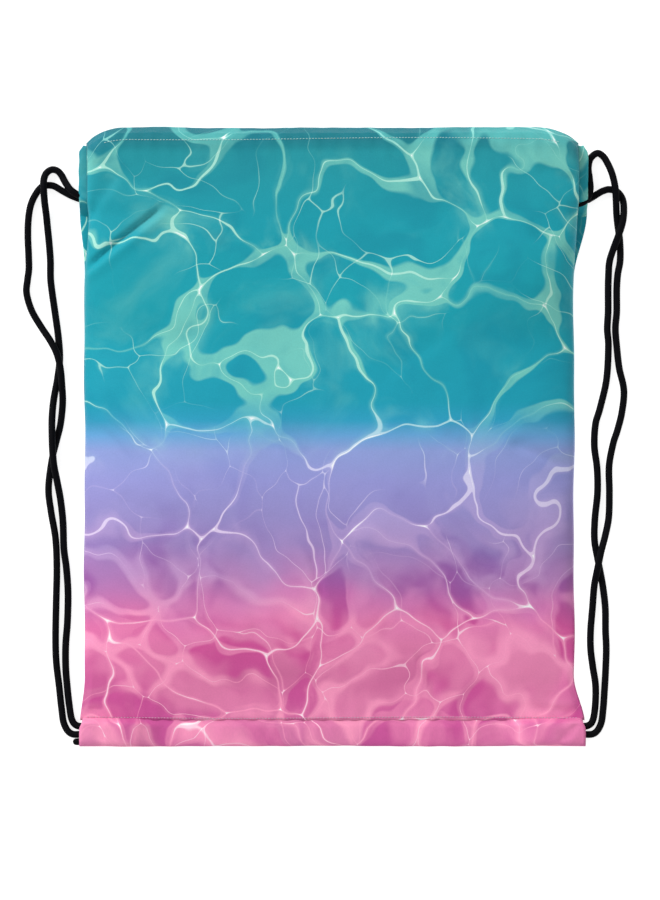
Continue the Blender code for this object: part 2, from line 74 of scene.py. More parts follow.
# Cloth and cord
CLOTH = 0.4 * MM
CORD = 5.0 * MM
GRID = 2.1 * MM  # spacing of the cloth's grid
SEAM_EDGE = 1.1 * MM  # height of the front cloth's edge at the side seam
CORNER_START = 142 * MM  # where the casing begins to turn down at each corner
CORNER_END = 176.8 * MM
CORNER_DROP = 15.6 * MM
STITCH_PITCH = 2.15 * MM
YARN_PITCH = 0.42 * MM
PLY_PITCH = 0.5 * MM
TUCK = 0.7 * MM  # how far the front cloth dips where it's sewn to the channel
STITCH_LINE = LIP_TOP + 4.4 * MM  # the front casing's stitching
FOOT_STITCHES = FOOT_LINE + 1.2 * MM
CHANNEL_END = 176.2 * MM
CHANNEL_CLOTH = 44 * MM  # the width of cloth that the channel is folded from
SEAM_INSET = 7.5 * MM  # from the bag's side to the cut edge of its seam
SEAM_WIDTH = 10.2 * MM
SIDES = (("left", -1), ("right", 1))
SIDE_WIDTH = {-1: 1.5 * MM, 1: -3.0 * MM}  # how far each side stands out beyond HALF_WIDTH
FOOT_FLARE = {-1: 3.6 * MM, 1: 7.6 * MM}  # and what is added to that at the foot
LIP_FLARE = {-1: -2.6 * MM, 1: 2.4 * MM}  # and at the mouth
NO_FLARE = {-1: 0.0, 1: 0.0}
BACK_FLARE = {-1: 6.0 * MM, 1: 6.6 * MM}  # how far the back cloth shows beside the front at the slits


def ease(value, start, end):
    """0 at start and 1 at end, smooth between them; start may be the larger."""
    share = np.clip((value - start) / (end - start), 0.0, 1.0)
    return share * share * (3 - 2 * share)


def ripple(x, y, wavelength, seed, count=9):
    """A smooth random field from -1 to 1, made of plane waves of about one wavelength."""
    rng = np.random.default_rng(seed)
    total = np.zeros_like(x)
    for _ in range(count):
        angle = rng.uniform(0, math.pi)
        length = wavelength * rng.uniform(0.7, 1.5)
        phase = rng.uniform(0, 2 * math.pi)
        total += np.sin(2 * math.pi * (x * math.cos(angle) + y * math.sin(angle)) / length + phase)
    return total / count * 1.6


# ---- mesh helpers

def add_object(name, data):
    obj = bpy.data.objects.new(name, data)
    bpy.context.scene.collection.objects.link(obj)
    return obj


def add_mesh(name, vertices, faces, material, attributes=()):
    """A smooth mesh; attributes are (name, type, values) for each vertex."""
    mesh = bpy.data.meshes.new(name)
    mesh.from_pydata([tuple(v) for v in vertices], [], faces)
    for label, kind, values in attributes:
        layer = mesh.attributes.new(label, kind, "POINT")
        key = "vector" if kind == "FLOAT_VECTOR" else "value"
        layer.data.foreach_set(key, np.asarray(values, np.float32).ravel())
    mesh.shade_smooth()
    mesh.update()
    mesh.materials.append(material)
    obj = add_object(name, mesh)
    return obj


def places_at(x, y, z=0.0):
    """Points from their coordinates, of which some may be one number for all."""
    return np.stack(np.broadcast_arrays(x, y, z), axis=-1)


def distances(line):
    """How far along a line each of its points is."""
    steps = np.linalg.norm(np.diff(line, axis=0), axis=1)
    return np.concatenate([[0], np.cumsum(steps)])


def look_up(stations, walked, values):
    """The values, given at the distances walked, at other stations."""
    return np.stack([np.interp(stations, walked, values[:, i]) for i in range(3)], axis=1)


def tube_faces(rings, corners, base=0):
    """The faces of a closed tube whose points, from base on, run ring by ring."""
    index = base + np.arange(rings * corners).reshape(rings, corners)
    following = np.roll(index, -1, axis=1)
    faces = np.stack([index[:-1], following[:-1], following[1:], index[1:]], axis=2).reshape(-1, 4)
    return faces.tolist() + [index[0][::-1].tolist(), index[-1].tolist()]


def grid_normals(points):
    across = np.gradient(points, axis=1)
    along = np.gradient(points, axis=0)
    normals = np.cross(across, along)
    length = np.linalg.norm(normals, axis=2, keepdims=True)
    return normals / np.maximum(length, 1e-12)


def cloth_piece(name, points, cloth, material):
    """A closed sheet: points is a grid of its outer face, cloth the flat place of each point."""
    rows, columns = points.shape[:2]
    inner = points - grid_normals(points) * CLOTH
    count = rows * columns
    index = np.arange(count).reshape(rows, columns)
    a, b = index[:-1, :-1].ravel(), index[:-1, 1:].ravel()
    c, d = index[1:, 1:].ravel(), index[1:, :-1].ravel()
    faces = np.stack([a, b, c, d], axis=1).tolist()
    faces += (np.stack([a, d, c, b], axis=1) + count).tolist()
    rim = list(index[0, :]) + list(index[1:, -1]) + list(index[-1, -2::-1]) + list(index[-2:0:-1, 0])
    for here, there in zip(rim, rim[1:] + rim[:1]):
        faces.append([int(there), int(here), int(here) + count, int(there) + count])
    vertices = np.concatenate([points.reshape(-1, 3), inner.reshape(-1, 3)])
    places = np.concatenate([cloth.reshape(-1, 3)] * 2)
    return add_mesh(name, vertices, faces, material, [("cloth", "FLOAT_VECTOR", places)])


# ---- materials

def srgb(*colour):
    """A display colour, 0 to 255, as the linear colour that a shader takes."""
    def linear(value):
        value /= 255
        return value / 12.92 if value <= 0.04045 else ((value + 0.055) / 1.055) ** 2.4
    return (*map(linear, colour), 1.0)


class Nodes:
    """Short calls that add linked nodes to one material."""

    def __init__(self, name):
        self.material = bpy.data.materials.new(name)
        self.material.use_nodes = True
        self.tree = self.material.node_tree
        self.shader = self.tree.nodes["Principled BSDF"]

    def link(self, source, target):
        if isinstance(source, (int, float, tuple)):
            target.default_value = source
        else:
            self.tree.links.new(source, target)

    def node(self, kind, settings=(), **inputs):
        node = self.tree.nodes.new("ShaderNode" + kind)
        for key, value in dict(settings).items():
            setattr(node, key, value)
        for key, value in inputs.items():
            self.link(value, node.inputs[key])
        return node

    def math(self, operation, a, b=0.0, c=0.0):
        node = self.node("Math", {"operation": operation})
        for value, socket in zip((a, b, c), node.inputs):
            self.link(value, socket)
        return node.outputs[0]

    def times(self, a, b):
        return self.math("MULTIPLY", a, b)

    def most(self, a, b):
        return self.math("MAXIMUM", a, b)

    def line(self, value, slope, start):
        """start, and slope for each 1 of the value."""
        return self.math("MULTIPLY_ADD", value, slope, start)

    def wave(self, value, pitch):
        return self.math("SINE", self.times(value, 2 * math.pi / pitch))

    def vector(self, operation, a, b):
        node = self.node("VectorMath", {"operation": operation})
        self.link(a, node.inputs[0])
        self.link(b, node.inputs["Scale"] if operation == "SCALE" else node.inputs[1])
        return node.outputs[0]

    def attribute(self, name, kind="Vector"):
        return self.node("Attribute", {"attribute_name": name}).outputs[kind]

    def surface(self, **inputs):
        """Sets the shader's inputs; a name has _ for each space."""
        for name, value in inputs.items():
            self.link(value, self.shader.inputs[name.replace("_", " ")])
        return self.material

    def red(self, colour):
        return self.node("SeparateColor", Color=colour).outputs["Red"]

    def noise(self, place, scale, detail=2.0, kind="Fac"):
        node = self.node("TexNoise", {"noise_dimensions": "3D"}, Vector=place, Scale=scale, Detail=detail)
        return node.outputs[kind]

    def step(self, value, start, end):
        """0 before start, 1 after end, smooth between; start may be over end."""
        node = self.node("MapRange", {"interpolation_type": "SMOOTHSTEP"}, Value=value)
        self.link(start, node.inputs["From Min"])
        self.link(end, node.inputs["From Max"])
        return node.outputs[0]

    def ramp(self, value, stops):
        node = self.node("ValToRGB", Fac=value)
        elements = node.color_ramp.elements
        elements[0].position, elements[0].color = stops[0]
        elements[1].position, elements[1].color = stops[-1]
        for position, colour in stops[1:-1]:
            elements.new(position).color = colour
        return node.outputs["Color"]

    def mix(self, share, a, b, mode="MIX"):
        node = self.node("Mix", {"data_type": "RGBA", "blend_type": mode})
        self.link(share, node.inputs["Factor"])
        self.link(a, node.inputs[6])
        self.link(b, node.inputs[7])
        return node.outputs[2]

    def bump(self, height, distance, strength=1.0, normal=None):
        node = self.node("Bump", Height=height, Distance=distance, Strength=strength)
        if normal is not None:
            self.link(normal, node.inputs["Normal"])
        return node.outputs[0]


# the print's two webs of veins: where each is looked up, and how many cells it has to the metre
MAIN_WEB = ((1.262, 0.596), 15.0)
SMALL_WEB = ((0.83, 0.52), 25.0)
PRINT_LOW, PRINT_HIGH = -0.235, 0.235  # the cloth heights that the print's colours span


def by_height(*stops):
    """Colour stops, each a cloth height in millimetres and its red, green and blue."""
    span = PRINT_HIGH - PRINT_LOW
    return [((y * MM - PRINT_LOW) / span, srgb(*colour)) for y, *colour in stops]


# in every table the stops from about 196 mm up darken all colours alike, where the cloth rolls over the
# casing and turns inside the mouth: painted shade
GROUND = by_height(
    (-235, 196, 106, 156), (-212, 200, 106, 157), (-200, 213, 113, 162), (-170, 207, 108, 156),
    (-150, 224, 125, 171), (-130, 229, 128, 181), (-112, 210, 124, 184), (-97, 180, 126, 184),
    (-75, 153, 130, 189), (-53, 147, 138, 196), (-30, 147, 148, 209), (-9, 140, 156, 213),
    (2, 98, 160, 210), (12, 44, 156, 190), (25, 26, 155, 178), (91, 22, 158, 173), (150, 24, 155, 171),
    (197, 33, 147, 158), (206, 22, 118, 130), (235, 18, 102, 114))
VEIN = by_height(
    (-235, 250, 214, 230), (-125, 253, 210, 228), (-90, 228, 200, 232), (-20, 212, 212, 242),
    (8, 176, 220, 230), (30, 176, 232, 216), (196, 172, 230, 214), (208, 138, 210, 202),
    (235, 110, 190, 184))
PATCH = by_height(
    (-235, 250, 154, 188), (-130, 250, 156, 196), (-95, 198, 154, 204), (-20, 174, 172, 222),
    (10, 100, 188, 204), (30, 118, 204, 192), (196, 116, 200, 188), (208, 84, 176, 174),
    (235, 60, 150, 152))
DEEP = by_height(
    (-235, 190, 80, 146), (-135, 208, 78, 150), (-105, 160, 84, 160), (-75, 132, 98, 170),
    (-20, 132, 138, 204), (20, 12, 138, 165), (235, 16, 122, 140))


def printed_cloth(name):
    """Woven polyester with a marbled print: pale veins over bands of teal, lilac and pink."""
    n = Nodes(name)
    flat = n.attribute("cloth")
    parts = n.node("SeparateXYZ", Vector=flat)
    height = parts.outputs["Y"]
    pink = n.step(height, -0.05, -0.1)

    # the print flows, so every pattern is looked up at a place shifted by slow noise
    slow = n.vector("SUBTRACT", n.noise(flat, 11, 0, "Color"), (0.5, 0.5, 0.5))
    quick = n.vector("SUBTRACT", n.noise(flat, 34, 1, "Color"), (0.5, 0.5, 0.5))
    shifted = n.vector("ADD", n.vector("SCALE", slow, 0.11), n.vector("SCALE", quick, 0.03))
    flow = n.vector("ADD", flat, shifted)

    def places(offset, still=False):
        return n.vector("ADD", flat if still else flow, (*offset, 0))

    def cells(web, softness=None):
        offset, scale = web
        settings = {"feature": "SMOOTH_F1" if softness else "F1", "voronoi_dimensions": "2D"}
        node = n.node("TexVoronoi", settings, Vector=places(offset), Scale=scale)
        if softness:
            node.inputs["Smoothness"].default_value = softness
        return node.outputs

    def nearness(web, softness):
        """How near a border between cells is: 0.25 on one, more where three cells meet.

        The smooth distance falls below the plain one near a border, by an eighth of the softness
        on the border itself.
        """
        gap = n.math("SUBTRACT", cells(web)["Distance"], cells(web, softness)["Distance"])
        return n.math("DIVIDE", gap, softness / 2)

    def veins(web, softness, swelling):
        """Lines along the borders of cells, which swell here and there, and their glow and knots."""
        near = nearness(web, softness)
        swell = n.step(n.noise(places(web[0]), 16, 1), 0.4, 0.7)
        swell = n.times(swell, n.line(pink, -0.45, 1))
        start = n.line(swell, -swelling, 0.232)
        core = n.step(near, start, n.math("ADD", start, 0.04))
        return core, n.step(near, 0.02, 0.26), n.step(near, 0.275, 0.36)

    main_core, main_glow, knot = veins(MAIN_WEB, 0.19, 0.13)
    small_core, small_glow, _ = veins(SMALL_WEB, 0.14, 0.1)
    shown = n.line(pink, 0.15, n.noise(places((3, 1), True), 14, 1))
    shown = n.step(shown, 0.44, 0.58)
    clear = n.line(pink, 0.15, 0.8)
    small_core = n.times(small_core, n.times(shown, clear))
    small_glow = n.times(small_glow, n.times(shown, 0.6))

    # pale bands hug the main veins, wider on one side than on the other, and fade along them
    broad = nearness(MAIN_WEB, 0.85)
    spread = n.step(n.noise(places((2, 6), True), 11, 1), 0.36, 0.6)
    lopsided = n.red(cells(MAIN_WEB)["Color"])
    start = n.line(lopsided, 0.14, n.line(spread, -0.22, 0.25))
    band = n.step(broad, start, n.math("ADD", start, 0.055))
    fade = n.step(n.noise(places((7, 4)), 24, 3), 0.28, 0.6)
    strength = n.line(n.step(height, 0, 0.03), 0.4, 0.5)
    band = n.times(band, n.times(n.line(fade, 0.65, 0.35), strength))
    haze = n.step(n.noise(places((1, 9)), 18, 4), 0.5, 0.76)
    haze = n.times(haze, n.line(n.step(broad, 0, 0.22), 0.6, 0.28))

    # in the pink, the borders of the small cells blush and the middles of some are deep
    rim = n.step(nearness(SMALL_WEB, 0.9), 0.03, 0.2)
    blush = n.step(n.noise(places((4, 7)), 17, 2), 0.42, 0.6)
    blush = n.times(pink, n.times(blush, n.line(rim, 0.55, 0.35)))
    field = n.most(band, n.times(n.most(haze, blush), 0.95))
    chosen = n.red(cells(SMALL_WEB)["Color"])
    middle = n.math("SUBTRACT", n.line(chosen, 1.5, -0.35), rim)
    middle = n.times(pink, n.times(n.step(middle, 0, 0.9), 0.9))

    # deeper blots, strongest where lilac turns to pink and below
    blot = n.step(n.noise(places((5, 2)), 21, 2), 0.47, 0.68)
    blot = n.times(blot, n.line(pink, 0.6, 0.35))
    blot = n.most(blot, middle)

    drift = n.line(n.noise(flat, 12, 2), 0.05, -0.025)
    wavy = n.line(drift, n.step(height, -0.04, -0.09), height)
    level = n.math("DIVIDE", n.math("SUBTRACT", wavy, PRINT_LOW), PRINT_HIGH - PRINT_LOW)
    # the top stops of each ramp hold painted shade over the casing roll and inside the mouth
    patch = n.ramp(level, PATCH)
    colour = n.mix(blot, n.ramp(level, GROUND), n.ramp(level, DEEP))
    colour = n.mix(field, colour, patch)
    glow = n.most(main_glow, small_glow)
    colour = n.mix(n.times(glow, n.line(pink, 0.25, 0.5)), colour, patch)
    core = n.most(main_core, small_core)
    colour = n.mix(n.times(core, 0.86), colour, n.ramp(level, VEIN))
    crossing = n.most(n.times(main_core, small_core), knot)
    colour = n.mix(n.times(crossing, 0.85), colour, srgb(250, 252, 252))

    # the weave, with its own fine tone
    grain = n.noise(flat, 900, 2)
    tone = n.line(grain, 0.16, 0.92)
    tone = n.node("CombineColor", Red=tone, Green=tone, Blue=tone).outputs[0]
    warp = n.wave(parts.outputs["X"], YARN_PITCH)
    weft = n.wave(height, YARN_PITCH)
    crumple = n.noise(flat, 130, 3)
    normal = n.bump(n.times(warp, weft), 0.00004, 0.6)
    return n.surface(Base_Color=n.mix(1, colour, tone, "MULTIPLY"),
                     Normal=n.bump(crumple, 0.0006, 0.35, normal), Roughness=n.line(grain, 0.12, 0.5),
                     Sheen_Weight=0.05, Sheen_Roughness=0.4, Specular_IOR_Level=0.14)


def braided(name):
    """Round polyester braid, black with a trace of navy; its relief is in the mesh."""
    n = Nodes(name)
    relief = n.attribute("relief", "Fac")
    along = n.attribute("lay")
    wear_and_painted_strand_light = n.noise(along, 60, 3)
    # the strands are painted lighter than the hollows between them, following the relief: painted shade in
    # the hollows, its strength varied along the cord by noise
    share = n.times(n.line(wear_and_painted_strand_light, 0.5, 0.6), relief)
    yarn = n.noise(along, 2600, 2)
    return n.surface(Base_Color=n.mix(share, (0.0003, 0.0003, 0.0006, 1), (0.0026, 0.0026, 0.0052, 1)),
                     Normal=n.bump(yarn, 0.00012, 0.8), Roughness=n.line(yarn, 0.2, 0.6),
                     Specular_IOR_Level=0.07)


def threaded(name, colour, deep):
    """Twisted sewing thread: fine slanted plies and a soft sheen."""
    n = Nodes(name)
    place = n.node("TexCoord").outputs["Object"]
    parts = n.node("SeparateXYZ", Vector=place)
    slant = n.math("ADD", parts.outputs["X"], n.times(parts.outputs["Y"], 0.7))
    ply = n.line(n.wave(slant, PLY_PITCH), 0.5, 0.5)
    # the colour runs darker in the grooves between the plies and lighter on their crests: painted shade,
    # mixed with random tone from noise
    tone = n.line(n.noise(place, 420, 2), 0.5, n.times(ply, 0.4))
    return n.surface(Base_Color=n.mix(tone, deep, colour), Normal=n.bump(ply, 0.00006, 0.7),
                     Roughness=n.line(ply, -0.1, 0.55), Sheen_Weight=0.2)


# ---- the bag's shape

def side_reach(side, y, flare=0.0):
    """How far the cloth reaches to one side at a height y; the bag isn't quite symmetrical."""
    foot = FOOT_FLARE[side] * ease(y, -0.165, -0.2)
    mouth = (flare + LIP_FLARE[side]) * ease(y, 0.112, 0.157)
    wander = 0.35 * MM * np.sin(y * 41 + side) + 0.25 * MM * np.sin(y * 97 + 2 * side)
    return HALF_WIDTH + SIDE_WIDTH[side] + foot + mouth + wander


def across(shares, y, flares=NO_FLARE):
    """Shares of the way to each side, -1 to 1, as places across the cloth at a height y."""
    left, right = (side_reach(side, y, flares[side]) for side in (-1, 1))
    return np.where(shares < 0, shares * left, shares * right)


def from_edges(x, y):
    """How far a place on the front cloth is from the nearer side."""
    return np.minimum(side_reach(-1, y) + x, side_reach(1, y) - x)


def crown_height(y):
    """The middle of the front face: low at the bottom stitching, full above it."""
    return CROWN * (0.12 + 0.88 * ease(y, FOOT_LINE - 0.01, FOOT_LINE + 0.14))


def section(share, y):
    """How the front falls from 1 in its middle to 0 at its edges, more squarely at the mouth."""
    to_mouth = ease(y, 0.06, 0.155)
    power = 2.6 + 8.4 * to_mouth
    root = 0.59 - 0.35 * to_mouth
    return (1 - np.clip(np.abs(share), 0, 1) ** power) ** root


def edge_height(y):
    """The front cloth's edge: sewn down beside the bag's body, lifted over the cords at the slits."""
    return SEAM_EDGE + (LIP_EDGE - SEAM_EDGE) * ease(y, SLIT_FOOT - 0.005, SLIT_FOOT + 0.009)


def corner_drop(x):
    """How far the mouth's edge turns down beyond the ends of the casing."""
    beyond = np.clip((np.abs(x) - CORNER_START) / (CORNER_END - CORNER_START), 0, 1)
    return CORNER_DROP * beyond ** 2.2


def turned_down(x, y):
    """How far the cloth at a height y comes down with the mouth's corners."""
    return corner_drop(x) * ease(y, 0.178, 0.208)


def crease(x, y, start, end, depth, width):
    """A fold that fades at both ends: a valley, steeper below, with a soft ridge above."""
    start, end = np.array(start) * MM, np.array(end) * MM
    along = end - start
    length = np.linalg.norm(along)
    along /= length
    t = ((x - start[0]) * along[0] + (y - start[1]) * along[1]) / length
    off = (x - start[0]) * -along[1] + (y - start[1]) * along[0]
    fade = ease(t, 0.0, 0.18) * ease(t, 1.0, 0.7)
    valley = np.exp(-(off / (np.where(off > 0, 1.25, 0.6) * width * MM)) ** 2)
    ridge = np.exp(-((off - 2.1 * width * MM) / (1.5 * width * MM)) ** 2)
    return depth * MM * fade * (0.3 * ridge - valley)


# start, end, depth and width of each fold that the cloth keeps, in millimetres
CREASES = [((-112, 164), (-194, 101), 3.5, 2.7), ((-172, 150), (-146, 186), 1.6, 7.0),
           ((-168, 196), (-128, 168), 1.1, 6.0), ((172, 176), (140, 190), 1.3, 5.0),
           ((172, 120), (132, 150), 1.5, 5.0), ((120, -2), (170, -24), 1.2, 4.0),
           ((-16, -80), (-6, -116), 1.0, 2.6), ((58, -148), (74, -184), 1.1, 3.0),
           ((172, -196), (146, -176), 1.0, 3.5), ((172, -190), (128, -186), 0.6, 3.0),
           ((-174, -192), (-150, -176), 0.8, 3.4), ((-110, 60), (-60, 96), 0.7, 8.0),
           ((30, 40), (96, 84), 0.6, 9.0), ((-150, -40), (-96, -66), 0.7, 7.0),
           ((-60, -130), (-20, -160), 0.7, 6.0), ((100, -100), (150, -128), 0.8, 6.0)]


def stitch_puckers(x, away, seed):
    """Small gathers that run out from a stitched line, away being the distance from it."""
    reach = np.exp(-np.abs(away) / 0.009)
    wave = np.sin(2 * math.pi * x / 0.0115 + 3 * ripple(x, away * 0, 0.09, seed))
    return 0.42 * MM * reach * (wave * 0.6 + ripple(x, away, 0.016, seed + 1) * 0.7)


def front_relief(x, y):
    """Everything that makes the front uneven: folds, sag and gathers."""
    relief = sum(crease(x, y, *fold) for fold in CREASES)
    relief += 0.45 * MM * ease(y, STITCH_LINE + 0.5 * MM, STITCH_LINE + 2.1 * MM)
    sag = MM * ripple(x, y, 0.12, 3) + 0.34 * MM * ripple(x, y, 0.042, 4)
    relief += sag * (0.2 + 0.8 * ease(y, FOOT_LINE, FOOT_LINE + 0.03))
    relief += 0.1 * MM * ripple(x, y, 0.017, 5)
    relief += stitch_puckers(x, y - FOOT_LINE, 6) + stitch_puckers(x, y - STITCH_LINE, 8)
    edge = from_edges(x, y)
    relief += 0.55 * MM * ripple(x * 0.35, y, 0.021, 10) * np.exp(-edge / 0.014)
    return relief * ease(edge, 0.0, 0.006)


# the rolled casing's section, in (y, z): the front cloth runs over it from the lip to the fold
CASING_TILT = math.radians(-60)
CASING_ALONG = Vector((math.cos(CASING_TILT), math.sin(CASING_TILT)))
CASING_OUT = Vector((-CASING_ALONG.y, CASING_ALONG.x))
CASING_MIDDLE = ((FRONT_CASING[0] + FRONT_CASING[1]) / 2).yz
CASING_RADIUS = 3.8 * MM
CASING_STRAIGHT = 4.7 * MM  # half of the flat part of the casing's section


def casing_outline(position):
    """A point of the casing's section: -1 at its upper turn, 0 mid face, 1 at its lower turn."""
    turn = abs(position) - 1
    if turn <= 0:
        return CASING_MIDDLE + CASING_ALONG * position * CASING_STRAIGHT + CASING_OUT * CASING_RADIUS
    angle = turn * math.pi / 2
    end = CASING_MIDDLE + CASING_ALONG * math.copysign(CASING_STRAIGHT, position)
    round_about = CASING_OUT * math.cos(angle) + CASING_ALONG * math.copysign(math.sin(angle), position)
    return end + round_about * CASING_RADIUS


def front_rows():
    """The (y, z) of each row of the front cloth in the bag's middle, from foot to fold."""
    rows = [(FOOT_LINE - 0.8 * MM, None), (FOOT_LINE + 0.4 * MM, None), (FOOT_LINE + 1.3 * MM, None)]
    rows += [(y, None) for y in np.arange(FOOT_LINE + GRID, LIP_TOP - 0.003, GRID)]
    joined = [Vector((LIP_TOP - 0.001, CROWN)), Vector((LIP_TOP + 0.0026, CROWN + 0.0001))]
    joined += [casing_outline(p) for p in np.linspace(-0.72, 1.95, 13)]
    return rows + [(p.x, p.y) for p in joined]


def columns():
    count = int(round(2 * HALF_WIDTH / GRID))
    even = np.linspace(-1, 1, count + 1)
    return np.sign(even) * (1 - (1 - np.abs(even)) ** 1.12)


def front_surface(rows, shares):
    """The front cloth's outer face as a grid of points, and each point's flat cloth place."""
    points, cloth = [], []
    travelled, previous = 0.0, None
    for y, z in rows:
        here = Vector((y, crown_height(y) if z is None else z))
        travelled = y if z is None else travelled + (here - previous).length
        previous = here
        x = across(shares, y)
        edge = edge_height(y)
        tuck = TUCK * ease(y, FOOT_STITCHES, FOOT_STITCHES - 2 * MM)
        z = edge + (here.y - edge) * section(shares, min(y, LIP_TOP)) - tuck
        points.append(places_at(x, y - turned_down(x, y), z))
        cloth.append(places_at(x, travelled))
    return np.array(points), np.array(cloth)


def build_front(material):
    points, cloth = front_surface(front_rows(), columns())
    relief = front_relief(cloth[..., 0], cloth[..., 1])
    points += grid_normals(points) * relief[..., None]
    x, y = points[..., 0], points[..., 1]
    over_seam = (1.0 + 1.4 * ease(y, -0.191, -0.185)) * MM * ease(from_edges(x, y), 0.0, 5 * MM)
    points[..., 2] = np.maximum(points[..., 2], SEAM_EDGE - TUCK + over_seam)
    obj = cloth_piece("front_cloth", points, cloth, material)
    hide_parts("front_panel", "front_mouth_flap", "front_casing")
    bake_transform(obj)
    return points


def build_casing_lining(material):
    """The cloth of the front casing that turns back inside, behind the two cords."""
    x = np.linspace(-CASING_END, CASING_END, int(round(2 * CASING_END / GRID)) + 1)
    path = [casing_outline(p) for p in np.linspace(1.7, 2.0, 3)]
    path += [CASING_MIDDLE + CASING_ALONG * CASING_STRAIGHT * p - CASING_OUT * CASING_RADIUS
             for p in np.linspace(1, -1, 7)]
    path.append(CASING_MIDDLE - CASING_ALONG * 7.6 * MM - CASING_OUT * 1.2 * MM)
    points, cloth = [], []
    for j, place in enumerate(path):
        wobble = 0.35 * MM * ripple(x, x * 0 + j * 0.002, 0.028, 21)
        points.append(places_at(x, place.x + wobble, place.y + wobble))
        cloth.append(places_at(x + 0.4, MOUTH_EDGE + 0.006 + 2 * MM * j))
    obj = cloth_piece("front_casing_lining", np.array(points), np.array(cloth), material)
    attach(obj, "front_mouth")


def back_rows():
    """The (y, z) of each row of the back cloth: flat, round the cords, and down inside the mouth."""
    middle = BACK_MIDDLE[0]
    radius = (BACK_CASING[1].z - BACK_CASING[0].z) / 2
    straight = (BACK_CASING[1].y - BACK_CASING[0].y) / 2 - radius
    rows = [(y, 0.0) for y in np.arange(FOOT_LINE, middle - straight, GRID)]
    rows += [(middle + straight * p, 0.0) for p in np.linspace(-0.9, 1, 6)]
    for angle in np.linspace(0.16, 1.0, 8) * math.pi:
        rows.append((middle + straight + radius * math.sin(angle), radius - radius * math.cos(angle)))
    rows += [(middle - straight * p, 2 * radius - 0.4 * MM * max(p, 0)) for p in np.linspace(-0.7, 1, 6)]
    return rows + [(middle - straight - 3.0 * MM, 5.2 * MM), (middle - straight - 5.0 * MM, 1.6 * MM)]


def build_back(material):
    """The back cloth lies flat, and turns forward at the top round the back casing's cords."""
    rows, shares = back_rows(), columns()
    points, cloth = [], []
    travelled = FOOT_LINE
    for j, (y, z) in enumerate(rows):
        if j:
            travelled += math.dist(rows[j - 1], rows[j])
        x = across(shares, y, BACK_FLARE)
        inside = ease(np.abs(x), CASING_END + 0.01, CASING_END + 0.001)
        z = z * inside + (1 - inside) * min(z, 1.6 * MM) + 0.1 * MM
        points.append(places_at(x, y - turned_down(x, y), z))
        cloth.append(places_at(x + 0.9, travelled))
    points, cloth = np.array(points), np.array(cloth)
    x, y = cloth[..., 0], cloth[..., 1]
    lift = 0.5 * MM * (1 + ripple(x, y, 0.065, 31)) + 0.2 * MM * (1 + ripple(x, y, 0.02, 32))
    flat = ease(points[..., 1], BACK[1].y - 0.004, BACK[1].y - 0.024) * ease(y, FOOT_LINE, FOOT_LINE + 0.03)
    points[..., 2] += np.clip(lift, 0, 1.3 * MM) * flat
    # the cloth's outer face is the one that the bag lies on, so its grid runs the other way
    obj = cloth_piece("back_cloth", points[:, ::-1], cloth[:, ::-1], material)
    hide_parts("back_panel", "back_casing")
    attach(obj, "bag")


def rounded(value, power):
    """A sine or cosine pushed outwards, so that a circle becomes a rounded box."""
    return math.copysign(abs(value) ** power, value)


def build_channel(material):
    """The folded tube along the bag's foot, open at both ends: full over the knots, flat between."""
    x = np.linspace(-CHANNEL_END, CHANNEL_END, int(round(0.351 / GRID)) + 1)
    turns = 40
    width = CHANNEL[1].y - FOLD_LINE
    points, cloth = [], []
    knots = ease(np.abs(x), 0.118, 0.144)  # 0 along the empty middle
    half = (1.7 + 2.9 * knots) * MM + 0.35 * MM * ripple(x, x * 0, 0.05, 41) * (1 - knots)
    share = np.abs(x) / np.where(x < 0, side_reach(-1, FOOT_LINE), side_reach(1, FOOT_LINE))
    front_z = SEAM_EDGE + (crown_height(FOOT_LINE) - SEAM_EDGE) * section(share, FOOT_LINE)
    wander = 0.45 * MM * ripple(x, x * 0, 0.11, 43) + 0.2 * MM * ripple(x, x * 0, 0.02, 44)
    for j in range(turns + 1):
        angle = 2 * math.pi * j / turns
        towards = rounded(math.cos(angle), 0.55)        # 1 at the sewn edge, -1 at the fold
        up = rounded(math.sin(angle), 0.6)
        end_pull = 1 - 0.12 * ease(np.abs(x), 0.168, 0.176) * max(up, 0)
        sewn = ease(towards, 0.45 + 0.4 * knots, 1.0)
        y = (CHANNEL[1].y + FOLD_LINE) / 2 + towards * (width / 2 - 0.2 * MM)
        y += wander * (1 - towards) / 2 + 1.8 * MM * ease(towards, 0.85, 1.0)
        z = 0.2 * MM + half + up * half * end_pull * (1 - 0.8 * sewn)
        z += (front_z - 1.3 * MM - half) * sewn
        if up > 0:
            gathers = stitch_puckers(x, np.full_like(x, (1 - towards) * width / 2), 46)
            z += gathers * 1.2 * (1 - sewn)
            for side in (-1, 1):
                z += crease(x * side, y, (172, -198), (156, -212), 1.3, 2.2) * (1 - sewn)
        points.append(places_at(x * (1 - 0.011 * ease(towards, 0.3, 1.0)), y, np.maximum(z, 0.05 * MM)))
        cloth.append(places_at(x, FOOT_LINE - (j / turns) * CHANNEL_CLOTH))
    obj = cloth_piece("bottom_channel_cloth", np.array(points[::-1]), np.array(cloth[::-1]), material)
    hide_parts("bottom_channel")
    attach(obj, "bag")


def hem(name, side, y, reach, inner, top, depth, material):
    """A turned edge of cloth: half a turn from inner out to reach and back, soft and uneven."""
    turns = 12
    points, cloth = [], []
    for i in range(turns + 1):
        angle = math.pi * i / turns
        out = math.sin(angle)
        crumple = 0.5 * MM * ripple(y + i * 1.1 * MM, y * 0 + i * 2 * MM, 0.013, 51 + side)
        x = inner + (reach - inner) * out
        z = top - depth * (1 - math.cos(angle)) + crumple * 0.4
        points.append(places_at(side * (x + crumple * out * 0.6), y + crumple, z))
        cloth.append(places_at(side * x + 0.25, y))
    points, cloth = np.stack(points[::side], axis=1), np.stack(cloth[::side], axis=1)
    return cloth_piece(name, points, cloth, material)


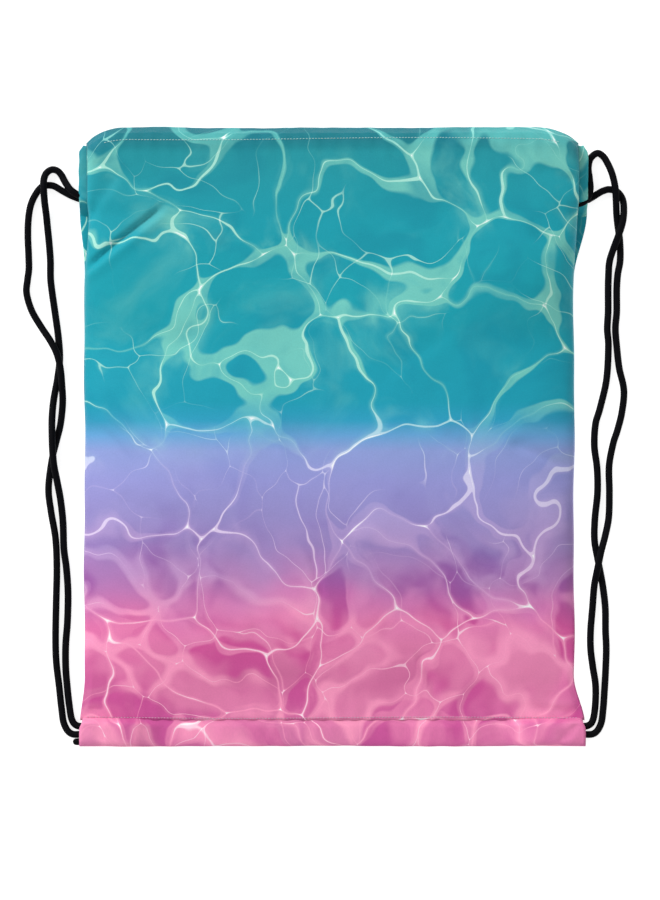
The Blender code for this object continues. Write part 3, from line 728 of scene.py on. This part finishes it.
def build_slit_hems(material):
    """The turned edges of each slit: one shows beside the front's edge, one lies on the back."""
    for word, side in SIDES:
        y = np.linspace(0.116, 0.203, 48)
        flare = BACK_FLARE[side] - 3.4 * MM * ease(y, 0.198, 0.204)
        reach = side_reach(side, y, flare) - 0.3 * MM
        inner = side_reach(side, y) - 1.6 * MM
        top = edge_height(y) - 0.9 * MM
        front = hem(word + "_slit_hem", side, y, reach, inner, top, np.minimum(1.7 * MM, top * 0.5), material)
        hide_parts(word + "_slit_front_hem")
        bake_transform(front)
        low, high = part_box(word + "_slit_back_hem")
        y = np.linspace(low.y, high.y - 1.0 * MM, 24)
        reach = side_reach(side, y, BACK_FLARE[side]) - 0.8 * MM - corner_drop(side * 0.176) * 0.1
        back = hem(word + "_slit_back_hem_fold", side, y, reach, reach - 5.2 * MM,
                   np.full_like(y, high.z + 0.4 * MM), 0.4 * MM, material)
        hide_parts(word + "_slit_back_hem")
        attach(back, "bag")


# ---- thread

RINGS = 6  # along one stitch
CORNERS = 6  # round its thread


def thread_run(name, line, normals, material, seed, replaced=None, rides="bag",
               pitch=STITCH_PITCH, radius=0.24 * MM):
    """Lockstitches along a line: short rounded threads that dip into the cloth at each hole."""
    line = np.asarray(line)
    normals = np.broadcast_to(normals, line.shape)
    walked = distances(line)
    rng = np.random.default_rng(seed)
    vertices, faces = [], []
    for k in range(int(walked[-1] / pitch)):
        start = k * pitch + rng.uniform(-0.06, 0.06) * pitch
        span = np.linspace(start + 0.1 * pitch, start + 0.92 * pitch, RINGS)
        centre, up = look_up(span, walked, line), look_up(span, walked, normals)
        along = centre[-1] - centre[0]
        along /= np.linalg.norm(along)
        side = np.cross(up[0], along)
        slant = rng.uniform(-0.12, 0.12) * MM
        faces += tube_faces(RINGS, CORNERS, len(vertices))
        for i, t in enumerate(np.linspace(-1, 1, RINGS)):
            size = radius * math.sqrt(max(1.03 - t * t, 0.03))
            middle = centre[i] + up[i] * radius * (1.25 - 1.5 * t * t) + side * slant * t
            for a in range(CORNERS):
                angle = 2 * math.pi * a / CORNERS
                vertices.append(middle + side * size * math.cos(angle) + up[i] * size * math.sin(angle))
    obj = add_mesh(name, vertices, faces, material)
    if replaced:
        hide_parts(replaced)
    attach(obj, rides)


def line_on_front(points, target_y, reach):
    """A stitched line across the front cloth at one height, with the cloth's normals."""
    normals = grid_normals(points)
    line, up = [], []
    for i in range(points.shape[1]):
        column = points[:, i, :]
        if abs(column[0, 0]) > reach:
            continue
        height = target_y(column[0, 0])
        first = int(np.argmax(column[:, 1] >= height))
        below, above = column[first - 1], column[first]
        share = (height - below[1]) / max(above[1] - below[1], 1e-9)
        line.append(below * (1 - share) + above * share)
        up.append(normals[first - 1, i] * (1 - share) + normals[first, i] * share)
    return line, up


def build_stitching(points, pale, grey):
    def mouth_line(x):
        return STITCH_LINE + 0.8 * MM * math.sin(x * 19 + 0.4) - 0.45 * corner_drop(x)

    def foot_line(x):
        return FOOT_STITCHES + 0.5 * MM * math.sin(x * 23)

    line, up = line_on_front(points, mouth_line, 0.164)
    thread_run("front_casing_stitches", line, up, pale, 2, "front_casing_stitching", "front_mouth")
    line, up = line_on_front(points, foot_line, 0.172)
    thread_run("bottom_channel_stitches", line, up, grey, 3, "bottom_channel_stitching")

    # on the back only the undersides of the stitches show
    line = [(x, foot_line(x), 0.0) for x in np.linspace(-0.172, 0.172, 150)]
    thread_run("bottom_channel_back_stitches", line, (0, 0, -1.0), grey, 4, radius=0.1 * MM)
    line = [(x, BACK[1].y - 1.6 * MM, 0.0) for x in np.linspace(-0.165, 0.165, 80)]
    thread_run("back_casing_stitches", line, (0, 0, -1.0), pale, 5, "back_casing_stitching",
               radius=0.1 * MM)


def build_bartacks(material):
    """A dense zigzag of thread at each slit's foot."""
    for word, side in SIDES:
        low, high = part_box(word + "_slit_bartack")
        middle = (low + high) / 2
        line = [(low.x + (high.x - low.x) * k / 25, low.y if k % 2 else high.y, middle.z)
                for k in range(26)]
        thread_run(word + "_bartack", line, (0, 0, 1.0), material, 6 + side, word + "_slit_bartack",
                   pitch=1.3 * MM, radius=0.3 * MM)


def build_side_seams(cloth, material):
    """The overlocked allowance inside each side: a wavy strip with looped thread over its edge."""
    for word, side in SIDES:
        low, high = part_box(word + "_side_seam")
        y = np.linspace(low.y, high.y, 150)
        points, places = [], []
        for i in range(5):
            x = side_reach(side, y) - SEAM_INSET - SEAM_WIDTH * i / 4
            z = low.z + 0.4 * MM + 0.2 * MM * ripple(y, y * 0, 0.03, 61 + side) * i / 4
            points.append(places_at(side * x, y, z))
            places.append(places_at(x + 0.6, y))
        strip = cloth_piece(word + "_seam_allowance", np.stack(points[::-side], axis=1),
                            np.stack(places[::-side], axis=1), cloth)
        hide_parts(word + "_side_seam")
        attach(strip, "bag")
        line = []
        for k, height in enumerate(np.arange(low.y + 0.001, high.y - 0.001, 1.1 * MM)):
            inward = (1.2 if k % 2 else 4.9) * MM
            reach = side_reach(side, height) - SEAM_INSET - inward
            line.append((side * reach, height, low.z + 0.5 * MM))
        thread_run(word + "_overlock_thread", line, (0, 0, 1.0), material, 8,
                   pitch=3.7 * MM, radius=0.14 * MM)


# ---- cords

def lane(middle, tilt, offset):
    """Where a cord lies in a casing's section, in millimetres."""
    return ((middle[0] + offset * math.cos(tilt)) / MM, (middle[1] + offset * math.sin(tilt)) / MM)


LANE = 2.9 * MM
BACK_MIDDLE = ((BACK_CASING[0].y + BACK_CASING[1].y) / 2, (BACK_CASING[0].z + BACK_CASING[1].z) / 2)
FRONT_INNER = lane(CASING_MIDDLE, CASING_TILT, -LANE)
FRONT_OUTER = lane(CASING_MIDDLE, CASING_TILT, LANE)
BACK_INNER = lane(BACK_MIDDLE, 0, -LANE)
BACK_OUTER = lane(BACK_MIDDLE, 0, LANE)
END = CASING_END / MM
LANE_STARTS = (END - 13, END - 6, 146.4)  # where a cord's line begins in its lane
LOW, HIGH, FLAT, OVER, SWING, INSIDE = 4.8, 10.1, 2.5, 7.9, 2.7, 5.0  # heights along the routes

# The routes repeat the CAD's, in millimetres: from a casing, down inside the slit, out at its
# foot and along the bag's side to the end of the bottom channel. A point's x is counted outwards
# from the bag's middle on either side, and a point without a height lies flat.
UPPER_END = [(181.6, -196.2, 3.8), (178, -200.3, 4.6), (171, -200.8, INSIDE), (160.3, -200.8, INSIDE)]
LOWER_END = [(187, -199.4, 3.6), (182, -205.9, 4.6), (172.5, -206.2, INSIDE), (160.3, -206.2, INSIDE)]
LEFT_UPPER = [
    (END + 0.15, *FRONT_INNER), (150, *FRONT_INNER), (156.5, 205.8, 20.6), (161, 201.2, 16.6),
    (162.6, 195, 13.6), (163.2, 187, 11.6), (163.2, 178, 10.6), (165, 170.8, HIGH), (169.6, 167, HIGH),
    (176.3, 168.8, HIGH), (181.8, 172.4, 9.5), (185, 176.4, 6.6), (187.2, 180, 3.8),
    (188.9, 183.2, SWING), (191.6, 186.2), (195.6, 187.2), (199.3, 184.8, 3.6), (200.9, 180.2, 6.2),
    (201, 174, OVER), (200.4, 164.6, 6.6), (199.4, 155, 4), (198.6, 146, 2.7), (197.6, 136),
    (196.7, 124), (196.6, 112), (195.7, 103), (193.4, 87), (191.1, 70), (190.2, 55), (191.8, 41),
    (194.5, 26), (195.4, 14, 4.6), (195.2, 3, 7.4), (194.8, -8, OVER), (193.8, -19, OVER),
    (191.8, -30, 5.6), (189.6, -43, 3), (187.9, -59), (187.3, -77), (185.5, -91), (184.4, -108),
    (184.8, -128), (186, -144), (186, -160), (184.8, -175), (183.4, -187, 2.8)] + UPPER_END
LEFT_LOWER = [
    (END + 0.15, *BACK_INNER), (150, *BACK_INNER), (157.8, 201.9, 4.2), (162.5, 196, LOW),
    (163.8, 188, LOW), (163.8, 177, LOW), (165.6, 169.6, LOW), (170, 165.4, LOW), (176.3, 166.7, LOW),
    (182.5, 169.2, 3.6), (188.4, 172.4, SWING), (195.2, 176), (202.2, 175.4), (207, 169.9),
    (210.5, 162), (212.1, 152), (212.4, 140), (211.9, 128), (211.7, 118), (212.7, 110), (213.3, 101),
    (209.8, 89), (203.4, 78, 3.4), (196.6, 68, 6.4), (191.9, 59, OVER), (189.4, 49, OVER),
    (188.3, 37, 7), (188, 25, 4), (189.6, 10, 2.6), (192.6, -2.4), (195.6, -15), (198, -35),
    (196.3, -51), (193.1, -70), (192.2, -91), (192.7, -115), (193.1, -139), (192.6, -156),
    (190.6, -173), (188.9, -188.4, 2.8)] + LOWER_END
RIGHT_UPPER = [
    (END + 0.15, *FRONT_OUTER), (151, *FRONT_OUTER), (158.2, 208.2, 16.9), (161.4, 200.4, 15),
    (162, 191, 12.6), (161.4, 181, 10.8), (161.8, 172.4, HIGH), (164.8, 166, HIGH), (170.6, 163, HIGH),
    (176.3, 165.6, HIGH), (179.2, 172.4, 8.4), (178.9, 181, 6), (178.2, 188, 4.6), (179.8, 194.8, 3.2),
    (184.6, 198.6, SWING), (188.9, 196.2, 2.8), (191.8, 191.2, 4.2), (194.6, 184, 6.8),
    (196.7, 174.5, OVER), (197.4, 165, 6.6), (198, 156, 3.6), (199, 147.5), (200.4, 137), (200.6, 124),
    (198.9, 114), (198.2, 103), (198.2, 88), (197.3, 76), (198.4, 62), (200, 48.5), (203.2, 33.3),
    (201.8, 18), (198.7, 5.5), (195.7, -4), (192.9, -19.4), (193.1, -38), (192.6, -55, 3),
    (189.9, -68, 6), (186.9, -79, OVER), (184.4, -91, 7.8), (182.4, -103, 4.4), (181.3, -118, 2.6),
    (180, -134), (180, -147), (181.6, -160), (183.4, -172), (183.3, -185, 2.8)] + UPPER_END
RIGHT_LOWER = [
    (END + 0.15, *BACK_OUTER), (151, *BACK_OUTER), (159, 206.4, 4), (162.4, 199.8, LOW),
    (163.2, 191, LOW), (162.8, 181, LOW), (163.8, 172.4, LOW), (168.4, 166, LOW), (176.3, 165.6, LOW),
    (180.6, 167.6, 3.7), (184.4, 170, SWING), (188.4, 172.2), (193.1, 173.4), (198.7, 171.6),
    (202.4, 166, 2.8), (202.9, 157.6, 5.6), (201.6, 149, OVER), (198.6, 140, OVER), (195.6, 131.6, 5.6),
    (193.1, 122.8, 3), (192.4, 112), (192.2, 103), (192.2, 88), (191.6, 76), (192.4, 64), (191.1, 41),
    (186.6, 21), (183.4, 9.7), (182.6, -5.5), (184.5, -21), (184.8, -38), (183, -56), (182.7, -71),
    (185, -84.6), (188.3, -102), (190.2, -118), (190.4, -134), (190.9, -147), (190.4, -163),
    (189.6, -177), (188.7, -189, 2.8)] + LOWER_END
LEFT_TAIL = [(x, -211.5, INSIDE) for x in (160.3, 166, 172, 178.4)]
LEFT_BIGHT = [
    (149.4, *FRONT_INNER), (153.6, 204.9, 20.6), (155.6, 202.2, 15.6), (155.4, 201.2, 10.4),
    (153, 202.6, 5.6), (149.4, *BACK_INNER)]
RIGHT_BIGHT = [
    (149, *FRONT_OUTER), (153, 211, 16), (155, 211.8, 11), (153, 211, 5.8), (149, *BACK_OUTER)]


def catmull_rom(points):
    """The smooth curve through a list of Vectors."""
    pts = [2 * points[0] - points[1]] + points + [2 * points[-1] - points[-2]]
    curve = []
    for a, b, c, d in zip(pts, pts[1:], pts[2:], pts[3:]):
        for i in range(12):
            t = i / 12
            curve.append(0.5 * (2 * b + (c - a) * t + (2 * a - 5 * b + 4 * c - d) * t ** 2
                                + (3 * b - a - 3 * c + d) * t ** 3))
    return np.array(curve + [pts[-2]])


def route_curve(route, side):
    """The smooth line of a route, in metres, no lower than the surface it lies on."""
    spots = [(*point, FLAT)[:3] for point in route]
    curve = catmull_rom([Vector((side * x, y, z)) * MM for x, y, z in spots])
    curve[:, 2] = np.maximum(curve[:, 2], CORD / 2)
    return curve


def braid_height(along, angle):
    """Relief of a 16-strand round braid, 0 in its hollows and 1 on its strands."""
    pitch = 2 * math.pi * along / (3.4 * MM)
    return 0.5 + 0.5 * np.sin(4 * angle + pitch) * np.sin(4 * angle - pitch)


def cord_piece(name, curve, material, step=0.6 * MM, around=32, relief=0.13 * MM):
    """A braided cord along a line, closed at both ends with rounded caps."""
    walked = distances(curve)
    stations = np.linspace(0, walked[-1], max(int(round(walked[-1] / step)), 4) + 1)
    path = look_up(stations, walked, curve)
    tangents = np.gradient(path, axis=0)
    tangents /= np.linalg.norm(tangents, axis=1, keepdims=True)
    side = np.cross(tangents[0], (0.0, 0.0, 1.0))
    side /= np.linalg.norm(side)
    rings, heights, lays = [], [], []
    angles = np.linspace(0, 2 * math.pi, around, endpoint=False)

    def ring(i, turn=0.0):
        """A ring of points about a place on the line, or on the rounded cap beyond its end."""
        height = braid_height(stations[i], angles)
        radius = math.cos(turn) * (CORD / 2 - relief * (1 - height))
        up = np.cross(tangents[i], side)
        round_about = np.cos(angles)[:, None] * side + np.sin(angles)[:, None] * up
        centre = path[i] + tangents[i] * CORD / 2 * math.sin(turn)
        rings.append(centre + radius[:, None] * round_about)
        heights.append(height)
        lays.append(places_at(stations[i], angles * CORD / 2))

    caps = [math.radians(turn) for turn in (24, 50, 76)]
    for turn in caps[::-1]:
        ring(0, -turn)
    for i in range(len(path)):
        side = side - tangents[i] * float(np.dot(side, tangents[i]))
        side /= np.linalg.norm(side)
        ring(i)
    for turn in caps:
        ring(-1, turn)
    obj = add_mesh(name, np.concatenate(rings), tube_faces(len(rings), around), material,
                   [("relief", "FLOAT", np.concatenate(heights)),
                    ("lay", "FLOAT_VECTOR", np.concatenate(lays))])
    return obj, path, float(stations[-1])


STRAP_FOOT_Y = -0.187
# the line that each pair of strands swings about, as (x, y) of its top and its foot
STRAP_LINE = {"left": ((-0.1885, 0.176), (-0.184, STRAP_FOOT_Y)),
              "right": ((0.1844, 0.176), (0.1816, STRAP_FOOT_Y))}


def split_route(curve, word):
    """A side route as its leg in the slit, its free strand and its foot in the channel."""
    top, foot = STRAP_LINE[word]
    line = foot[0] + (top[0] - foot[0]) * (curve[:, 1] - foot[1]) / (top[1] - foot[1])
    out = int(np.argmax(np.abs(curve[:, 0]) > np.abs(line)))
    end = int(np.argmax(curve[:, 1] < STRAP_FOOT_Y))
    return curve[:out + 1], curve[out:end + 1], curve[end:]


def overhand_knot(centre, side):
    """The line of one drawn-up overhand knot, pressed flat, with its two short ends."""
    points = []
    for t in np.linspace(0.35, 2 * math.pi - 0.35, 60):
        x = (math.sin(t) + 2 * math.sin(2 * t)) * 1.9
        y = (math.cos(t) - 2 * math.cos(2 * t)) * 1.45
        z = -math.sin(3 * t) * 1.0 - 0.5
        points.append((centre[0] / MM + side * x, centre[1] / MM + y, centre[2] / MM + z))
    return np.array(points) * MM


def build_cord(word, side, routes, bight, lanes, material):
    """One drawcord: two strands beside the bag, two runs through the casings, a bight and a knot."""
    own, mouth_run = word + "_cord", word + "_cord_front"
    straps, along = {}, {}

    def piece(part, curve, **fine):
        """A length of the cord, in place of the CAD's node of that name."""
        obj, _, _ = cord_piece(f"{word}_{part}_braid", curve, material, **fine)
        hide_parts(f"{word}_{part}")
        return obj

    def riding(part, curve, half):
        """A piece that moves with the whole cord and goes with one of its strands."""
        obj = piece(part, curve)
        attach(obj, own)
        along[half].append(obj)

    for half, route, place in zip(("front", "back"), routes, lanes):
        curve = route_curve([(x, *place) for x in LANE_STARTS[:2]] + route, side)
        leg, strand, foot = split_route(curve, word)
        along[half] = []
        if half == "front":
            turn = int(np.argmax((np.abs(leg[:, 0]) > CASING_END + 0.008) & (leg[:, 1] < 0.186)))
            upper, leg = leg[:turn + 1], leg[turn:]
            neck, _, _ = cord_piece(word + "_cord_front_neck_braid", upper, material)
            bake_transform(neck)
            along[half].append(neck)
        obj = piece(f"cord_{half}_leg", leg)
        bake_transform(obj)
        along[half].append(obj)
        riding(f"cord_{half}_foot", foot, half)
        inside = side * (END - 13.5)
        run = np.array([(x, *place) for x in (inside, -inside)]) * MM
        obj = piece(f"cord_{half}_run", run, step=1.4 * MM, around=20)
        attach(obj, mouth_run if half == "front" else own)
        obj, path, length = cord_piece(f"{word}_strap_{half}_braid", strand, material)
        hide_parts(f"{word}_strap_{half}_strand")
        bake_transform(obj)
        straps[half] = obj, path, length

    turn = [(x, *lanes[0]) for x in LANE_STARTS] + bight + [(x, *lanes[1]) for x in LANE_STARTS[::-1]]
    obj = piece("cord_bight", route_curve(turn, -side))
    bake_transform(obj)
    low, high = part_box(word + "_cord_knot")
    riding("cord_knot", overhand_knot((low + high) / 2, side), "back")
    if word == "left":
        riding("cord_tail", route_curve(LEFT_TAIL, side), "back")


# ---- studio

def build_studio():
    n = Nodes("pale_floor")
    place = n.node("TexCoord").outputs["Object"]
    paper = n.mix(n.noise(place, 3.0, 2.0), (0.48, 0.48, 0.48, 1), (0.52, 0.52, 0.52, 1))
    n.surface(Base_Color=paper, Roughness=0.9, Specular_IOR_Level=0.0, Emission_Color=(1, 1, 1, 1),
              Emission_Strength=0.8)
    reach = 6
    corners = [(-reach, -reach, 0), (reach, -reach, 0), (reach, reach, 0), (-reach, reach, 0)]
    add_mesh("floor", corners, [(0, 1, 2, 3)], n.material)

    scene = bpy.context.scene
    scene.world = bpy.data.worlds.new("studio")
    scene.world.use_nodes = True
    sky = scene.world.node_tree.nodes["Background"]
    sky.inputs["Color"].default_value = (1, 1, 1, 1)
    sky.inputs["Strength"].default_value = 0.60
    light = bpy.data.lights.new("key", "SUN")
    light.angle = math.radians(22)
    light.energy = 2.5
    key = add_object("key", light)
    key.location = (-1.5, 1.6, 1.45)
    key.rotation_euler = (-key.location).to_track_quat("-Z", "Y").to_euler()

    camera = bpy.data.cameras.new("camera")
    camera.lens = 135
    camera.sensor_width = 36
    scene.camera = add_object("camera", camera)
    scene.camera.location = (-1.73 * MM, -8.3 * MM, 2.356)
    scene.view_settings.view_transform = "Standard"


def main():
    build_studio()
    cord = braided("braid")
    build_cord("left", -1, (LEFT_UPPER, LEFT_LOWER), LEFT_BIGHT, (FRONT_INNER, BACK_INNER), cord)
    build_cord("right", 1, (RIGHT_UPPER, RIGHT_LOWER), RIGHT_BIGHT, (FRONT_OUTER, BACK_OUTER), cord)

    cloth = printed_cloth("printed_cloth")
    pale = threaded("pale_thread", srgb(214, 240, 236), srgb(120, 190, 190))
    grey = threaded("grey_thread", srgb(226, 196, 212), srgb(176, 130, 160))
    points = build_front(cloth)
    build_casing_lining(cloth)
    build_back(cloth)
    build_channel(cloth)
    build_slit_hems(cloth)
    build_stitching(points, pale, grey)
    build_bartacks(pale)
    build_side_seams(cloth, pale)


main()
